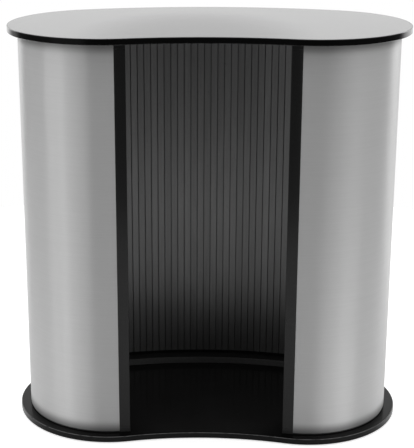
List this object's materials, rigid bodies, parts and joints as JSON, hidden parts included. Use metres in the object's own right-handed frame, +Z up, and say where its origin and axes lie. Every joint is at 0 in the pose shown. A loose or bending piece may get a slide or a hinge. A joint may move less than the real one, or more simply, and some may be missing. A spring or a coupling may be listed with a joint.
{
  "type": "exhibition counter",
  "caption": "Free-standing kidney-shaped exhibition counter: black worktop and base, a wrap-round silver tambour wall, and an open waist between its end posts.",
  "frame": {"origin": "centre of the bounding box's bottom, on the floor under the pads", "axes": "+X to the right as seen from the open side, +Y from the open side to the rear, +Z up"},
  "size_m": [0.975, 0.5188, 1.0023],
  "materials": {
    "black_laminate": "satin black laminate, faintly textured",
    "black_edge_band": "black plastic edge band with eased arrises",
    "wood_core": "raw fibreboard",
    "black_board": "fibreboard stained black",
    "silver_sheet": "brushed satin silver",
    "grey_slats": "dark grey matt slats",
    "black_profile": "black satin powder coat",
    "black_plastic": "black moulded plastic",
    "black_tape": "black hook and loop tape",
    "zinc_screw": "zinc plated",
    "black_rubber": "soft black rubber"
  },
  "bodies": {
    "base": {"base_backing_laminate": "black_laminate", "base_core": "wood_core", "base_edge_band": "black_edge_band", "base_former": "black_board", "base_former_screw_1": "zinc_screw", "base_former_screw_2": "zinc_screw", "base_former_screw_3": "zinc_screw", "base_former_screw_4": "zinc_screw", "base_former_screw_5": "zinc_screw", "base_former_screw_6": "zinc_screw", "base_former_screw_7": "zinc_screw", "base_hook_tape": "black_tape", "base_pad_1": "black_rubber", "base_pad_2": "black_rubber", "base_pad_3": "black_rubber", "base_pad_4": "black_rubber", "base_pad_5": "black_rubber", "base_pad_6": "black_rubber", "base_pad_7": "black_rubber", "base_pad_8": "black_rubber", "base_top_laminate": "black_laminate"},
    "wall": {"left_end_post": "black_profile", "left_lobe_slats": "grey_slats", "left_post_foot_cap": "black_plastic", "left_post_head_cap": "black_plastic", "lower_loop_tape": "black_tape", "rear_slats": "grey_slats", "right_end_post": "black_profile", "right_lobe_slats": "grey_slats", "right_post_foot_cap": "black_plastic", "right_post_head_cap": "black_plastic", "upper_loop_tape": "black_tape", "wall_skin": "silver_sheet"},
    "worktop": {"worktop_backing_laminate": "black_laminate", "worktop_core": "wood_core", "worktop_edge_band": "black_edge_band", "worktop_former": "black_board", "worktop_former_screw_1": "zinc_screw", "worktop_former_screw_2": "zinc_screw", "worktop_former_screw_3": "zinc_screw", "worktop_former_screw_4": "zinc_screw", "worktop_former_screw_5": "zinc_screw", "worktop_former_screw_6": "zinc_screw", "worktop_former_screw_7": "zinc_screw", "worktop_hook_tape": "black_tape", "worktop_top_laminate": "black_laminate"}
  },
  "joints": [
    {"name": "wall_lift", "type": "slide", "parent": "base", "child": "wall", "axis": [0, 0, 1], "range_m": [0, 0.12]},
    {"name": "worktop_lift", "type": "slide", "parent": "wall", "child": "worktop", "axis": [0, 0, 1], "range_m": [0, 0.12]}
  ]
}
